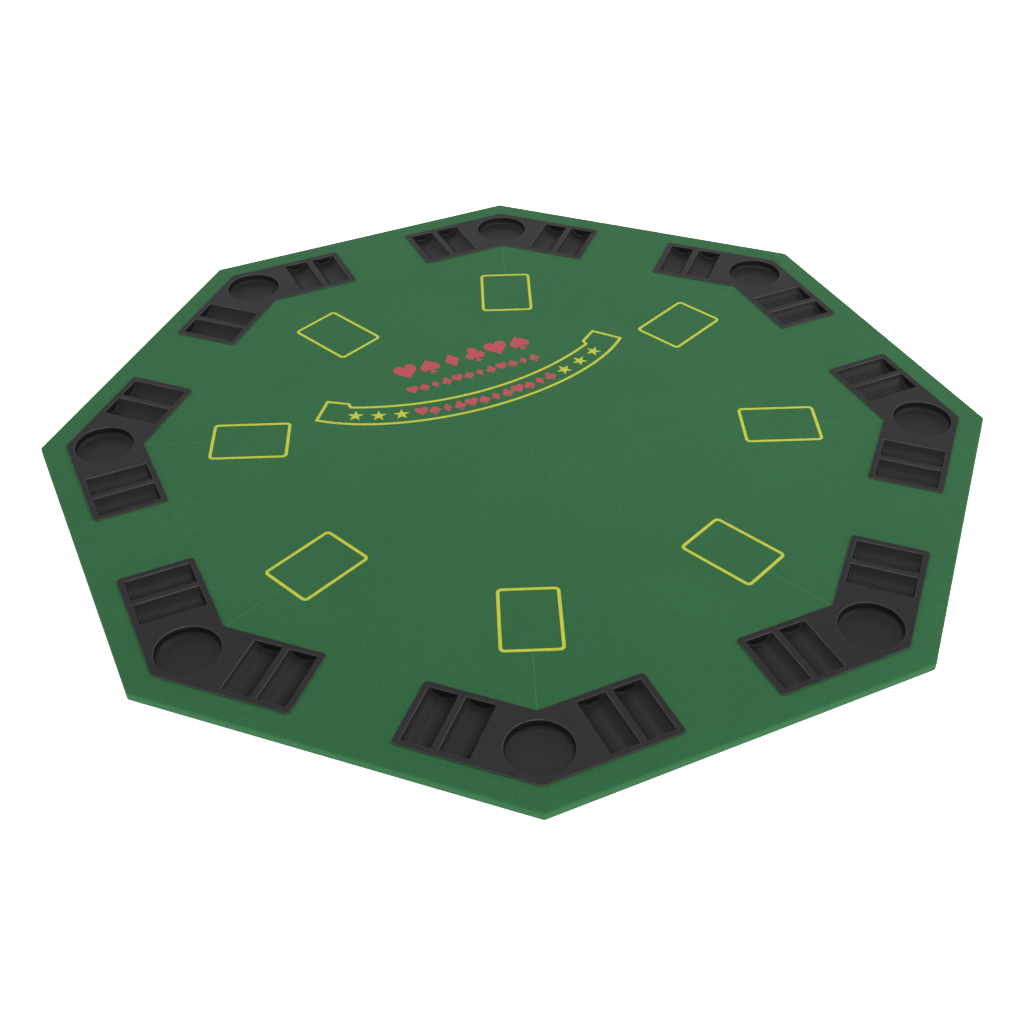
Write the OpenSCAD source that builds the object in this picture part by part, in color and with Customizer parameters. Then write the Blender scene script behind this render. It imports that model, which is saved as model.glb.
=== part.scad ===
// Folding octagonal poker table top.
// Two felt-covered half boards lie side by side and are joined along the middle by the
// uncut felt and a cloth tape under it. Each corner of the octagon carries a thermoformed
// tray with four chip slots and a cup holder, set into a cut-out in the board.
//
// Millimetres. +Z is up. The origin is on the surface that the table top lies on, under
// its centre. The fold line is the X axis. Trays are numbered counter-clockwise from +X:
// trays 1 to 4 are on the back half (+Y), and trays 5 to 8 on the front half (-Y).

/* [Table top] */
// Distance between opposite sides of the octagon, over the felt
across_flats = 1200; // [1150:5:1260]
// Thickness of each half board
board_t = 10; // [10:0.5:14]
// Thickness of the felt
felt_t = 1; // [0.8:0.1:1.5]
// Width of the felt hem that is turned under the edge of the board
hem_w = 28; // [15:1:30]

/* [Fold] */
// Gap between the two half boards on the fold line
fold_gap = 0.4; // [0.3:0.1:1.5]
// Width of cloth tape on each half board
hinge_tape_w = 25; // [15:1:40]
// Thickness of the cloth tape
hinge_tape_t = 0.4; // [0.3:0.1:0.6]

/* [Trays] */
// Distance from the edge of the table top to the edge of a tray
tray_margin = 32; // [30:0.5:40]
// Width of each arm of a tray
tray_w = 97.5; // [94:0.5:102]
// Length of each arm along its outer edge, from the apex to the end
tray_arm = 174.5; // [172:0.5:180]
// Thickness of the tray's plastic sheet
tray_wall = 1.2; // [1:0.1:1.5]
// Depth of the chip slots and the cup holder below the tray's rim
pocket_depth = 12; // [10:0.5:12]
// Corner radius at the ends of the arms
end_r = 5; // [4:0.5:8]
// Corner radius at the outer apex
apex_r = 6; // [4:1:16]
// Corner radius at the inner notch
notch_r = 4; // [2:0.5:8]
// Thickness of the foam tape under a tray's rim
foam_t = 0.8; // [0.5:0.1:1.2]
// Width of the foam tape
foam_w = 4.5; // [3:0.5:5]

/* [Chip slots] */
// Radius of a slot's round bottom, for chips 39 to 40 mm across
slot_r = 20.5; // [20:0.25:21]
// Length of a slot, across the arm
slot_l = 82; // [76:1:82]
// Distance between the centres of the two slots in an arm
slot_pitch = 45; // [44:0.5:46]
// Distance from the end of the arm to the centre of the first slot
slot_start = 26.4; // [26:0.1:28]

/* [Cup holders] */
// Inside radius of a cup holder
cup_r = 39.5; // [36:0.5:40]
// Distance from the outer apex to the cup holder's centre
cup_in = 52; // [50:0.5:54]
// Height of the sloping foot of the cup holder's wall
cup_foot = 3; // [2:0.5:4]

/* [Underside] */
// Height of the foot pads
pad_h = 2; // [2:0.5:4]
// Radius of a foot pad
pad_r = 10; // [8:1:14]
// Crown length of a staple
staple_l = 10; // [8:0.5:12]
// Leg length of a staple
staple_leg = 7; // [5:0.5:8]
// Distance between two staples
staple_pitch = 70; // [50:5:100]

/* [Hidden] */

// Half the angle between neighbouring sides of the octagon
half_turn = 22.5;
sides = 8;
over = 1;                       // how far a cut runs past the solid it cuts
arc_steps = 6;                  // straight steps in each rounded corner of an outline
least_r = 1.5;                  // smallest corner radius of a drawn-in outline
front_corners = [5:8];          // numbers of the octagon's corners on the front half
slot_fn = 96;                   // facets of a chip slot
cup_fn = 120;                   // facets of a cup holder
pad_fn = 64;                    // facets of a foot pad

// Heights
board_z = pad_h;                // underside of the boards
board_top = board_z + board_t;
felt_top = board_top + felt_t;
rim_z = felt_top + foam_t;      // underside of the tray rims
rim_top = rim_z + tray_wall;
floor_z = rim_top - pocket_depth;

// The trays, measured from the centre of the octagon square to one of its sides (n)
// and along that side from its middle (s)
tray_out = across_flats / 2 - tray_margin;
tray_in = tray_out - tray_w;
tray_end = tray_out * tan(half_turn) - tray_arm;
slot_n = (tray_out + tray_in) / 2;
cup_at = tray_out / cos(half_turn) - cup_in;
cut_in = 6;                     // from the edge of a tray to the edge of its cut-out
foam_in = 0.8;                  // from the edge of a tray to the edge of its foam tape

// The fold
fold_y = -fold_gap / 2;         // edge of the front half
hinge_tape_in = 12;             // from the edge of the table top to the end of the tape
hinge_tape_l = across_flats - 2 * hinge_tape_in;

// The underside
staple_wire = [1.2, 0.5];       // width and thickness of the flat wire
staple_at = 0.6;                // place of a staple on the hem, as a share of its width
staple_n = across_flats / 2 - staple_at * hem_w;
staple_reach = 3 * staple_pitch;
pad_in = 60;                    // from the edge of the table top to the outer foot pads
pad_fold = 50;                  // from the fold to the foot pads along it
pad_n = across_flats / 2 - pad_in;
pad_slant = pad_n / sqrt(2);    // place of a pad at the middle of a slanting side
pad_inner = [pad_n / 2, -pad_n / 3];
// Foot pads on the front half, on its middle line and then to the right of it
MIDDLE_PADS = [[0, -pad_n], [0, -pad_fold]];
RIGHT_PADS = [[pad_n, -pad_fold], [pad_slant, -pad_slant], pad_inner];

felt_green = "#33704a";
tray_black = "#35333a";
mdf_brown = "#b8946a";
tape_grey = "#4c4f4b";
foam_black = "#262626";
rubber_black = "#232323";
steel_grey = "#9a9ca0";

// Unit vector along v
function unit(v) = v / norm(v);

// Points of the arc that rounds corner b, between a and c, to radius r
function corner_arc(a, b, c, r) =
    let (
        u = unit(a - b),
        v = unit(c - b),
        half = acos(u * v) / 2,
        mid = b + unit(u + v) * r / sin(half),
        from = b + u * r / tan(half) - mid,
        to = b + v * r / tan(half) - mid,
        start = atan2(from[1], from[0]),
        turn = atan2(from[0] * to[1] - from[1] * to[0], from * to)
    )
    [for (i = [0:arc_steps]) mid + r * [cos(start + turn * i / arc_steps),
                                        sin(start + turn * i / arc_steps)]];

// A polygon with each corner rounded to its own radius
function rounded(points, radii) =
    let (count = len(points))
    [for (i = [0:count - 1])
        each corner_arc(points[(i + count - 1) % count], points[i],
                        points[(i + 1) % count], radii[i])];

// Place of a point at n and s on the arm that lies on one side (+1 or -1) of the
// diagonal, in a frame whose +X axis is the diagonal through the octagon's corner
function arm_point(n, s, side) =
    [n * cos(half_turn) + s * sin(half_turn),
     side * (n * sin(half_turn) - s * cos(half_turn))];

// Outline of a tray, drawn in by inset all round
function tray_outline(inset) =
    let (
        out = tray_out - inset,
        in = tray_in + inset,
        end = tray_end + inset,
        apex = max(apex_r - inset, least_r),
        end_corner = max(end_r - inset, least_r)
    )
    rounded(
        [[out / cos(half_turn), 0], arm_point(out, end, 1), arm_point(in, end, 1),
         [in / cos(half_turn), 0], arm_point(in, end, -1), arm_point(out, end, -1)],
        [apex, end_corner, end_corner, notch_r + inset, end_corner, end_corner]);

// Half octagon of the front half, up to the line y = edge
function half_outline(width, edge) =
    let (flat = width / 2, corner = flat * tan(half_turn))
    [[-flat, edge], [-flat, -corner], [-corner, -flat],
     [corner, -flat], [flat, -corner], [flat, edge]];

// A slab with the outline of the front half
module half_slab(width, edge, z0, z1) {
    translate([0, 0, z0])
        linear_extrude(z1 - z0)
            polygon(half_outline(width, edge));
}

// Puts its children at corner number k of the octagon, with +X along the diagonal
module at_corner(k) {
    rotate([0, 0, half_turn + (k - 1) * 360 / sides])
        children();
}

// The cut-outs for the four trays of the front half
module tray_cuts() {
    for (k = front_corners)
        at_corner(k)
            linear_extrude(rim_top)
                polygon(tray_outline(cut_in));
}

// Puts its children at the middle of each chip slot of a tray, with +X along the slot
module at_slots() {
    for (side = [-1, 1], i = [0, 1])
        translate(arm_point(slot_n, tray_end + slot_start + i * slot_pitch, side))
            rotate([0, 0, side * half_turn])
                children();
}

// A lying cylinder with the round bottom of a chip slot, grown by wall all round
module slot_round(wall) {
    translate([0, 0, floor_z + slot_r])
        rotate([0, 90, 0])
            cylinder(r = slot_r + wall, h = slot_l + 2 * wall, center = true, $fn = slot_fn);
}

// The plug that fills a cup holder, grown by wall all round
module cup_round(wall, top) {
    rotate_extrude($fn = cup_fn)
        polygon([[0, floor_z - wall], [cup_r + wall - cup_foot, floor_z - wall],
                 [cup_r + wall, floor_z - wall + cup_foot], [cup_r + wall, top], [0, top]]);
}

// A block from the ground to the middle of the rim's sheet, wider than a chip slot
module below_rim() {
    translate([-slot_l, -slot_l, 0])
        cube([2 * slot_l, 2 * slot_l, rim_top - tray_wall / 2]);
}

// Half board of the front half
module front_board() {
    difference() {
        half_slab(across_flats - 2 * felt_t, fold_y, board_z, board_top);
        tray_cuts();
    }
}

// Cloth tape on one half board
module front_hinge_tape() {
    translate([-hinge_tape_l / 2, fold_y - hinge_tape_w, board_top])
        cube([hinge_tape_l, hinge_tape_w, hinge_tape_t]);
}

// Felt of the front half: the top, the edge and the hem turned under the board
module front_felt() {
    difference() {
        half_slab(across_flats, fold_y, board_z - felt_t, felt_top);
        half_slab(across_flats - 2 * felt_t, over, board_z, board_top);
        half_slab(across_flats - 2 * hem_w, over, board_z - felt_t - over, board_z + over);
        tray_cuts();
        front_hinge_tape();
    }
}

// A staple: its crown lies on the hem, and its legs stand in the board
module staple() {
    leg = [staple_wire[1], staple_wire[0], staple_leg];
    translate([-staple_l / 2, -staple_wire[0] / 2, -staple_wire[1]])
        cube([staple_l, staple_wire[0], staple_wire[1]]);
    for (x = [-staple_l / 2, staple_l / 2 - staple_wire[1]])
        translate([x, -staple_wire[0] / 2, -staple_wire[1]])
            cube(leg);
}

// The staples of the front half, in rows along the sides of the octagon
module front_staples() {
    for (i = [0:sides - 1], s = [-staple_reach:staple_pitch:staple_reach]) {
        a = i * 360 / sides;
        y = staple_n * sin(a) + s * cos(a);
        if (y < -staple_l)
            translate([staple_n * cos(a) - s * sin(a), y, board_z - felt_t])
                rotate([0, 0, a + 90])
                    staple();
    }
}

// A foot pad, standing at p
module pad(p) {
    translate(p)
        cylinder(r = pad_r, h = pad_h, $fn = pad_fn);
}

// The foot pads of the front half
module front_pads() {
    for (p = MIDDLE_PADS)
        pad(p);
    for (p = RIGHT_PADS, side = [-1, 1])
        pad([side * p[0], p[1]]);
}

// The octagon is the same half a turn round, so the back half is the front half turned
module turned() {
    rotate([0, 0, 180])
        children();
}

module board_front() { color(mdf_brown) front_board(); }
module board_back() { color(mdf_brown) turned() front_board(); }
module felt_front() { color(felt_green) front_felt(); }
module felt_back() { color(felt_green) turned() front_felt(); }
module hinge_tape_front() { color(tape_grey) front_hinge_tape(); }
module hinge_tape_back() { color(tape_grey) turned() front_hinge_tape(); }
module staples_front() { color(steel_grey) front_staples(); }
module staples_back() { color(steel_grey) turned() front_staples(); }
module foot_pads_front() { color(rubber_black) front_pads(); }
module foot_pads_back() { color(rubber_black) turned() front_pads(); }

// Tray number k: a flat rim with four chip slots and a cup holder pressed down from it
module tray(k) {
    color(tray_black)
        at_corner(k)
            difference() {
                union() {
                    translate([0, 0, rim_z])
                        linear_extrude(tray_wall)
                            polygon(tray_outline(0));
                    at_slots()
                        intersection() {
                            slot_round(tray_wall);
                            below_rim();
                        }
                    translate([cup_at, 0, 0])
                        cup_round(tray_wall, rim_top - tray_wall / 2);
                }
                at_slots()
                    slot_round(0);
                translate([cup_at, 0, 0])
                    cup_round(0, rim_top + over);
            }
}

// Double-sided foam tape that sticks the rim of tray number k to the felt
module tray_tape(k) {
    color(foam_black)
        at_corner(k)
            translate([0, 0, felt_top])
                linear_extrude(foam_t)
                    difference() {
                        polygon(tray_outline(foam_in));
                        polygon(tray_outline(foam_in + foam_w));
                    }
}

board_front();
board_back();
felt_front();
felt_back();
hinge_tape_front();
hinge_tape_back();
staples_front();
staples_back();
foot_pads_front();
foot_pads_back();
tray(1);  // tray_1
tray(2);  // tray_2
tray(3);  // tray_3
tray(4);  // tray_4
tray(5);  // tray_5
tray(6);  // tray_6
tray(7);  // tray_7
tray(8);  // tray_8
tray_tape(1);  // tray_tape_1
tray_tape(2);  // tray_tape_2
tray_tape(3);  // tray_tape_3
tray_tape(4);  // tray_tape_4
tray_tape(5);  // tray_tape_5
tray_tape(6);  // tray_tape_6
tray_tape(7);  // tray_tape_7
tray_tape(8);  // tray_tape_8
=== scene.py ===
"""Looks of the folding poker table top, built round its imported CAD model.

Shapes are worked out in millimetres and become metres when their mesh is made. The fold
line is the X axis. Trays are numbered counter-clockwise from +X: 1 to 4 lie on the back
half (+Y) and 5 to 8 on the front half (-Y).
"""

import math
from itertools import product

import bmesh
import bpy
from mathutils import Matrix, Vector
from mathutils.geometry import delaunay_2d_cdt


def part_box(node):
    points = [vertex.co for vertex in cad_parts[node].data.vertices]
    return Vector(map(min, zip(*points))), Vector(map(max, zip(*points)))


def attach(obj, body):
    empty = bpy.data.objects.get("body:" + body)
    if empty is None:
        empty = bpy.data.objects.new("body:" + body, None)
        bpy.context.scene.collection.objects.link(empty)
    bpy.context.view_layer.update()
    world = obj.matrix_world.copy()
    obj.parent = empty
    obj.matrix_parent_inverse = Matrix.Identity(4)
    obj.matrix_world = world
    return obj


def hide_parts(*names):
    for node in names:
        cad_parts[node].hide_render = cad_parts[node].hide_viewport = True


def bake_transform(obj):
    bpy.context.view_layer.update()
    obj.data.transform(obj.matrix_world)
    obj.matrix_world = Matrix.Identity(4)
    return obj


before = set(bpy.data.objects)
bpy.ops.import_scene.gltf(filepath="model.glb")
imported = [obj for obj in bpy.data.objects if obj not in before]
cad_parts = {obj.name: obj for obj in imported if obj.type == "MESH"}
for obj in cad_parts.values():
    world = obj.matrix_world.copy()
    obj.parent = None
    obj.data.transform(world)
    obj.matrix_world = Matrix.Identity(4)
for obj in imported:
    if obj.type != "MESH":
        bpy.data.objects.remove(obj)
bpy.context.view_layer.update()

# --------------------------------------------------------------------------------------
# Sizes
# --------------------------------------------------------------------------------------

MM = 0.001
SIDES = 8
HALF_TURN = math.pi / SIDES  # half the angle between neighbouring sides of the octagon


def low(node):
    """Lowest corner of a CAD node, in millimetres."""
    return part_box(node)[0] / MM


def high(node):
    """Highest corner of a CAD node, in millimetres."""
    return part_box(node)[1] / MM


# Heights and widths that the frame gives
EDGE = high("felt_front").x  # from the middle of the octagon to a side
HEM_Z = low("felt_front").z
BOARD_TOP = high("board_front").z
FELT_TOP = high("felt_front").z
FELT_T = FELT_TOP - BOARD_TOP
TAPE_TOP = high("hinge_tape_front").z
TAPE_HALF_L = high("hinge_tape_front").x
TAPE_HALF_W = -low("hinge_tape_front").y
RIM_Z = high("tray_tape_1").z
RIM_TOP = high("tray_1").z
WALL = RIM_TOP - RIM_Z
FLOOR_Z = low("tray_1").z + WALL

# Felt
EDGE_R = 2.5  # rounding where the felt turns over the edge of the board
HEM_R = 1.5  # rounding where it turns under the board
HEM_W = 28
CORNER_R = 5  # rounding of the octagon's corners
LEAST_R = 0.5
MITRE_START = 5  # from the edge to the point of the slit in the hem at a corner
CREASE_DEPTH = 0.25
CREASE_HALF_W = 6
BEND_HALF_W = 0.5  # the strip of cloth that bends when the halves fold
BEND_STEPS = 16
SLIT_HALF_W = 0.6  # slit in the turned-over edge at each end of the fold
CLEAR = 0.02  # air between two cloths that lie on each other
SIDE_REACH = 225  # half the stretch of a side that has evenly spaced points
SIDE_STEPS = 9  # steps in that half
FOLD_STEPS = 24  # steps along the fold
HEM_WAVE_START = 20  # from the edge to where the hem's cut edge begins to wave
GRID = 40  # spacing of the points inside the felt's flat top
GRID_REACH = 14  # steps of the grid from the middle to the edge
GRID_CLEAR = 5  # from the rows at the fold to the grid
NEAR = 0.001  # two points nearer than this are one
FILL_NEAR = 1e-4  # the same for the corners of a filled outline
ALL_TRIANGLES = 0  # Blender's number for a fill that keeps the whole hull

# Trays
TRAY_MARGIN = 32
TRAY_W = 97.5
TRAY_ARM = 174.5
TRAY_OUT = EDGE - TRAY_MARGIN
TRAY_IN = TRAY_OUT - TRAY_W
TRAY_END = TRAY_OUT * math.tan(HALF_TURN) - TRAY_ARM
TRAY_APEX_R = 6
TRAY_END_R = 5
TRAY_NOTCH_R = 4
TRAY_LEAST_R = 1.5
CUT_IN = 6  # from the edge of a tray to the edge of its cut-out
SLOT_R = 20.5
SLOT_L = 82
SLOT_N = (TRAY_OUT + TRAY_IN) / 2
SLOT_START = 26.4
SLOT_PITCH = 45
CUP_R = 39.5
CUP_AT = TRAY_OUT / math.cos(HALF_TURN) - 52
CUP_POINTS = 96
DRAFT = math.radians(86)  # slope of the formed walls

# --------------------------------------------------------------------------------------
# Plane shapes
# --------------------------------------------------------------------------------------


def span(start, end, steps):
    """Evenly spaced numbers from start to end, both included."""
    return [start + (end - start) * i / steps for i in range(steps + 1)]


def polar(radius, angle):
    return Vector((radius * math.cos(angle), radius * math.sin(angle)))


def turned(points, angle):
    """Plane points, turned about the middle."""
    turn = Matrix.Rotation(angle, 2)
    return [turn @ p for p in points]


def placed(points, at, angle=0.0, size=1.0):
    """Plane points, scaled, turned and moved."""
    return [p * size + Vector(at) for p in turned(points, angle)]


def corner_arc(before, corner, after, radius, steps):
    """Points of the arc that rounds a corner."""
    u = (before - corner).normalized()
    v = (after - corner).normalized()
    half = u.angle(v) / 2
    middle = corner + (u + v).normalized() * radius / math.sin(half)
    start = corner + u * radius / math.tan(half) - middle
    end = corner + v * radius / math.tan(half) - middle
    first = math.atan2(start.y, start.x)
    turn = math.atan2(start.x * end.y - start.y * end.x, start.dot(end))
    return [middle + polar(radius, first + turn * i / steps) for i in range(steps + 1)]


def rounded(points, radii, steps=6):
    """A polygon with each corner rounded to its own radius."""
    count = len(points)
    loop = []
    for i, radius in enumerate(radii):
        loop += corner_arc(points[i - 1], points[i], points[(i + 1) % count], radius, steps)
    return loop


def inside(loop, x, y):
    """True if the point lies in the closed loop."""
    found = False
    ax, ay = loop[-1]
    for bx, by in loop:
        if (ay > y) != (by > y) and x < ax + (bx - ax) * (y - ay) / (by - ay):
            found = not found
        ax, ay = bx, by
    return found


def in_ring(loops):
    """Test for points in the first loop and in none of the others."""
    return lambda x, y: inside(loops[0], x, y) and not any(inside(h, x, y) for h in loops[1:])


def in_any(loops):
    """Test for points in one loop at least."""
    return lambda x, y: any(inside(loop, x, y) for loop in loops)


def fill(loops, keep, spots=()):
    """Triangles between closed loops where keep says so, as lists of plane points.
    A triangle is left out if its height over its longest side is NEAR or less."""
    points = []
    edges = []
    for loop in loops:
        start = len(points)
        points += loop
        edges += [(start + i, start + (i + 1) % len(loop)) for i in range(len(loop))]
    points += [Vector(p) for p in spots]
    places, _, triangles = delaunay_2d_cdt(points, edges, [], ALL_TRIANGLES, FILL_NEAR)[:3]
    kept = []
    for t in triangles:
        a, b, c = (places[i] for i in t)
        middle = (a + b + c) / 3
        longest = max((b - a).length, (c - b).length, (a - c).length)
        tall = abs((b - a).cross(c - a)) > NEAR * longest
        if tall and keep(middle.x, middle.y):
            kept.append([a, b, c])
    return kept


def area(loop):
    """Area of a closed loop."""
    return abs(sum(a.cross(b) for a, b in zip(loop, loop[1:] + loop[:1]))) / 2


def arm_point(n, s, side):
    """A point at n from the middle square to a side of the octagon and at s along that
    side, on the arm on one side (+1 or -1) of a corner's diagonal, which is +X here."""
    cos, sin = math.cos(HALF_TURN), math.sin(HALF_TURN)
    return Vector((n * cos + s * sin, side * (n * sin - s * cos)))


def tray_outline(inset):
    """Outline of a tray in its diagonal's frame, drawn in by inset all round."""
    out = TRAY_OUT - inset
    end = TRAY_END + inset
    notch = TRAY_IN + inset
    apex_r = max(TRAY_APEX_R - inset, TRAY_LEAST_R)
    end_r = max(TRAY_END_R - inset, TRAY_LEAST_R)
    points = [
        Vector((out / math.cos(HALF_TURN), 0)),
        arm_point(out, end, 1),
        arm_point(notch, end, 1),
        Vector((notch / math.cos(HALF_TURN), 0)),
        arm_point(notch, end, -1),
        arm_point(out, end, -1),
    ]
    return rounded(points, [apex_r, end_r, end_r, TRAY_NOTCH_R + inset, end_r, end_r])


def corner_angle(k):
    """Direction of corner number k of the octagon."""
    return HALF_TURN + (k - 1) * 2 * math.pi / SIDES


def body_of_corner(k):
    return "back" if k <= SIDES // 2 else "front"


# --------------------------------------------------------------------------------------
# Meshes
# --------------------------------------------------------------------------------------


class Places:
    """Numbers for points, the same number for points that lie at one place."""

    def __init__(self):
        self.cells = {}
        self.held = []

    def number(self, point):
        """The point's number, and whether it is new."""
        point = Vector(point)
        cell = [math.floor(c / (2 * NEAR)) for c in point]
        for near in product(*((c - 1, c, c + 1) for c in cell)):
            for found in self.cells.get(near, ()):
                if (self.held[found] - point).length < NEAR:
                    return found, False
        found = len(self.held)
        self.held.append(point)
        self.cells.setdefault(tuple(cell), []).append(found)
        return found, True


def ring_of(found):
    """Point numbers of a face without repeats, or nothing if fewer than three remain."""
    ring = [f for i, f in enumerate(found) if f != found[i - 1]]
    return ring if len(set(ring)) > 2 else []


class Shape:
    """Faces in millimetres. Points at the same place become one."""

    def __init__(self):
        self.points = []
        self.faces = []
        self.places = Places()

    def index(self, point):
        found, new = self.places.number(point)
        if new:
            self.points.append(Vector(point))
        return found

    def face(self, corners):
        ring = ring_of([self.index(p) for p in corners])
        if ring:
            self.faces.append(ring)

    def band(self, first, second):
        """Quads between two closed rings with as many points each."""
        for i in range(len(first)):
            self.face([first[i - 1], first[i], second[i], second[i - 1]])

    def rings(self, rings):
        for first, second in zip(rings, rings[1:]):
            self.band(first, second)

    def flat(self, triangles, z):
        for t in triangles:
            self.face([(p.x, p.y, z) for p in t])

    def plate(self, triangles, bottom, top):
        """A flat piece: plane triangles at two heights, with walls round them."""
        self.flat(triangles, bottom)
        self.flat(triangles, top)
        for a, b in free_edges(triangles):
            self.face([(*a, bottom), (*b, bottom), (*b, top), (*a, top)])

    def turned(self, angle):
        turn = Matrix.Rotation(angle, 3, "Z")
        made = Shape()
        made.points = [turn @ p for p in self.points]
        made.faces = self.faces
        return made


def free_edges(triangles):
    """Edges that only one of the plane triangles has, as pairs of (x, y)."""
    found = {}
    for t in triangles:
        for a, b in zip(t, t[1:] + t[:1]):
            ends = [(round(p.x, 3), round(p.y, 3)) for p in (a, b)]
            key = tuple(sorted(ends))
            found[key] = found.get(key, 0) + 1
    return [key for key, count in found.items() if count == 1]


def make(name, shape, material, sharp=40.0):
    """Mesh object from a shape, smooth but for edges sharper than an angle in degrees."""
    mesh = bpy.data.meshes.new(name)
    mesh.from_pydata([p * MM for p in shape.points], [], shape.faces)
    work = bmesh.new()
    work.from_mesh(mesh)
    bmesh.ops.recalc_face_normals(work, faces=work.faces)
    work.to_mesh(mesh)
    work.free()
    mesh.polygons.foreach_set("use_smooth", [True] * len(mesh.polygons))
    mesh.set_sharp_from_angle(angle=math.radians(sharp))
    mesh.materials.append(material)
    made = bpy.data.objects.new(name, mesh)
    bpy.context.scene.collection.objects.link(made)
    return made


# --------------------------------------------------------------------------------------
# Materials
# --------------------------------------------------------------------------------------


def linear(red, green, blue):
    """A colour in Blender's linear values, from the usual 0 to 255."""

    def value(c):
        c /= 255
        return c / 12.92 if c <= 0.04045 else ((c + 0.055) / 1.055) ** 2.4

    return (value(red), value(green), value(blue), 1.0)


class Surface:
    """A material with one Principled shader, and short calls for its nodes."""

    def __init__(self, name, **sockets):
        self.material = bpy.data.materials.new(name)
        self.material.use_nodes = True
        self.tree = self.material.node_tree
        self.shader = self.tree.nodes["Principled BSDF"]
        self.place = self.add("ShaderNodeTexCoord").outputs["Object"]
        self.normal = self.place.node.outputs["Normal"]
        for socket, value in sockets.items():
            self.shader.inputs[socket.replace("_", " ")].default_value = value

    def add(self, kind, **settings):
        made = self.tree.nodes.new(kind)
        for name, value in settings.items():
            setattr(made, name, value)
        return made

    def link(self, source, target):
        self.tree.links.new(source, target)

    def stretched(self, scale, turn=0.0):
        """Coordinates stretched along the axes and turned about Z."""
        mapping = self.add("ShaderNodeMapping")
        mapping.inputs["Scale"].default_value = scale
        mapping.inputs["Rotation"].default_value = (0, 0, turn)
        self.link(self.place, mapping.inputs["Vector"])
        return mapping.outputs["Vector"]

    def noise(self, scale, detail=2.0, roughness=0.5, place=None):
        made = self.add("ShaderNodeTexNoise")
        made.inputs["Scale"].default_value = scale
        made.inputs["Detail"].default_value = detail
        made.inputs["Roughness"].default_value = roughness
        self.link(place or self.place, made.inputs["Vector"])
        return made.outputs["Fac"]

    def cells(self, scale, feature="F1", place=None):
        made = self.add("ShaderNodeTexVoronoi", feature=feature)
        made.inputs["Scale"].default_value = scale
        self.link(place or self.place, made.inputs["Vector"])
        return made.outputs["Distance"]

    def wave(self, scale, direction, distortion=0.0):
        made = self.add("ShaderNodeTexWave", bands_direction=direction)
        made.inputs["Scale"].default_value = scale
        made.inputs["Distortion"].default_value = distortion
        self.link(self.place, made.inputs["Vector"])
        return made.outputs["Fac"]

    def math(self, operation, first, second):
        made = self.add("ShaderNodeMath", operation=operation)
        for socket, value in zip(made.inputs, (first, second)):
            if isinstance(value, (int, float)):
                socket.default_value = value
            else:
                self.link(value, socket)
        return made.outputs["Value"]

    def ranged(self, value, low_in, high_in, low_out=0.0, high_out=1.0):
        made = self.add("ShaderNodeMapRange")
        made.inputs["From Min"].default_value = low_in
        made.inputs["From Max"].default_value = high_in
        made.inputs["To Min"].default_value = low_out
        made.inputs["To Max"].default_value = high_out
        self.link(value, made.inputs["Value"])
        return made.outputs["Result"]

    def mixed(self, share, first, second):
        """A colour between two, each a colour or a node's output."""
        made = self.add("ShaderNodeMix", data_type="RGBA")
        self.link(share, made.inputs["Factor"])
        colours = [s for s in made.inputs if s.type == "RGBA"]
        for socket, value in zip(colours, (first, second)):
            if isinstance(value, tuple):
                socket.default_value = value
            else:
                self.link(value, socket)
        return next(s for s in made.outputs if s.type == "RGBA")

    def along(self, vector, axis):
        """One part of a vector: X, Y or Z."""
        made = self.add("ShaderNodeSeparateXYZ")
        self.link(vector, made.inputs["Vector"])
        return made.outputs[axis]

    def colour(self, source):
        self.link(source, self.shader.inputs["Base Color"])

    def roughness(self, source):
        self.link(source, self.shader.inputs["Roughness"])

    def bump(self, height, distance, strength=1.0):
        made = self.add("ShaderNodeBump")
        made.inputs["Strength"].default_value = strength
        made.inputs["Distance"].default_value = distance
        self.link(height, made.inputs["Height"])
        self.link(made.outputs["Normal"], self.shader.inputs["Normal"])


FELT_DARK = linear(28, 74, 42)
FELT_LIGHT = linear(43, 98, 58)
FELT_PALE = linear(45, 99, 61)
INK_YELLOW = linear(176, 181, 54)
INK_RED = linear(170, 63, 79)
INK_GREEN = linear(48, 101, 62)


def felt_material():
    """Short-napped felt: matted fibres, faint clouds and a soft sheen."""
    felt = Surface(
        "green_felt", Roughness=0.95, Sheen_Weight=0.12, Sheen_Roughness=0.5,
        Sheen_Tint=linear(170, 215, 180), Specular_IOR_Level=0.2,
    )
    fibres = felt.noise(1500, detail=4, roughness=0.65)
    strands = felt.noise(600, detail=3, place=felt.stretched((1.0, 0.4, 1.0), 0.6))
    clouds = felt.noise(5, detail=3)
    tufts = felt.noise(130, detail=3)
    fine = felt.math("MULTIPLY", fibres, 0.65)
    nap = felt.math("ADD", fine, felt.math("MULTIPLY", strands, 0.35))
    base = felt.mixed(felt.ranged(nap, 0.3, 0.7), FELT_DARK, FELT_LIGHT)
    pale_share = felt.math("MULTIPLY", felt.ranged(clouds, 0.4, 0.75), felt.ranged(tufts, 0.3, 0.8))
    felt.colour(felt.mixed(felt.math("MULTIPLY", pale_share, 0.6), base, FELT_PALE))
    height = felt.math("ADD", nap, felt.math("MULTIPLY", tufts, 0.3))
    felt.bump(height, 0.0004, 0.4)
    return felt.material


def ink_material(name, ink):
    """Ink screened onto felt, which shows through between the fibres."""
    surface = Surface(name, Roughness=0.85, Specular_IOR_Level=0.25)
    fibres = surface.noise(1300, detail=3, roughness=0.6)
    patches = surface.noise(160, detail=2)
    bare = surface.math("ADD", fibres, surface.math("MULTIPLY", patches, 0.35))
    surface.colour(surface.mixed(surface.ranged(bare, 0.64, 0.94, 0.0, 0.6), ink, FELT_LIGHT))
    surface.bump(fibres, 0.0003, 0.4)
    return surface.material


GLINT_BELOW = 1.2  # no painted highlight and no added smoothness on a rim lower than this under its top
GLINT_ABOVE = 0.8  # full painted highlight and smoothness above this


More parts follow.
